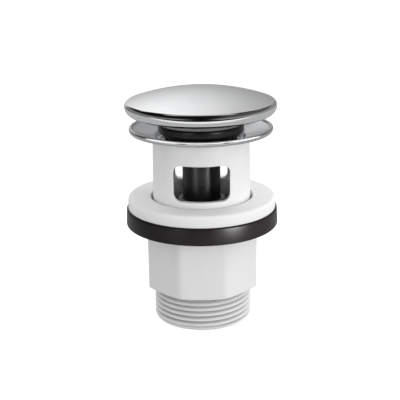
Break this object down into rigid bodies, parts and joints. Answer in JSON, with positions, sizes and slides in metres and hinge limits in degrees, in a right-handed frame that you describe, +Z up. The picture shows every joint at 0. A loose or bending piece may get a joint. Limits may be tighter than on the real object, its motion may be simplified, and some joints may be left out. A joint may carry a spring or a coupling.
{
  "type": "pop up basin waste",
  "caption": "Push-open basin waste with domed chrome plug, flange dish, slotted overflow barrel, clamping rings and octagonal threaded tailpiece.",
  "frame": {"origin": "centre of the outlet thread's end face, on the waste's axis, at the lowest level of the part", "axes": "+Z up along the waste's axis towards the plug; the front overflow window faces -Y"},
  "size_m": [0.0644, 0.0644, 0.0994],
  "materials": {
    "chrome": "polished chrome plate",
    "white_plastic": "satin moulded",
    "ring_white": "matt moulded",
    "black_plastic": "satin moulded",
    "black_rubber": "matt",
    "steel": "drawn",
    "brass": "turned"
  },
  "bodies": {
    "waste_body": {"flange_cup": "chrome", "cup_o_ring": "black_rubber", "barrel": "white_plastic", "guide_basket": "black_plastic", "cartridge_housing": "black_plastic", "cartridge_collar": "black_plastic", "cartridge_base": "black_plastic", "spring_seat": "steel", "return_spring": "steel", "cartridge_nut": "brass"},
    "plug": {"plug_cap": "chrome", "cap_insert": "black_plastic", "plug_stud": "steel", "plug_seal": "black_rubber", "seal_retainer": "black_plastic", "plunger": "black_plastic"},
    "cam": {"cam_ring": "white_plastic"},
    "clamp_rings": {"clamp_washer": "ring_white", "clamp_gasket": "black_rubber"},
    "tail": {"tailpiece": "white_plastic", "tail_seal": "black_rubber"}
  },
  "joints": [
    {"name": "plug_slide", "type": "slide", "parent": "waste_body", "child": "plug", "axis": [0, 0, 1], "range_m": [-0.0049, 0], "stiffness_N_per_m": 400, "springref_m": 0.03, "deforming": ["return_spring"]},
    {"name": "cam_turn", "type": "hinge", "parent": "waste_body", "child": "cam", "pos_m": [0, 0, 0.0637], "axis": [0, 0, 1], "range_deg": [-1, 62]},
    {"name": "clamp_travel", "type": "slide", "parent": "waste_body", "child": "clamp_rings", "axis": [0, 0, 1], "range_m": [-0.012, 0.002]},
    {"name": "tail_turn", "type": "hinge", "parent": "clamp_rings", "child": "tail", "pos_m": [0, 0, 0.0418], "axis": [0, 0, 1], "range_deg": [-2160, 360]}
  ],
  "couplings": [
    {"joint": "cam_turn", "follows": "plug_slide", "rad_per_m": -213.7},
    {"joint": "clamp_travel", "follows": "tail_turn", "m_per_rad": 0.0003183}
  ]
}
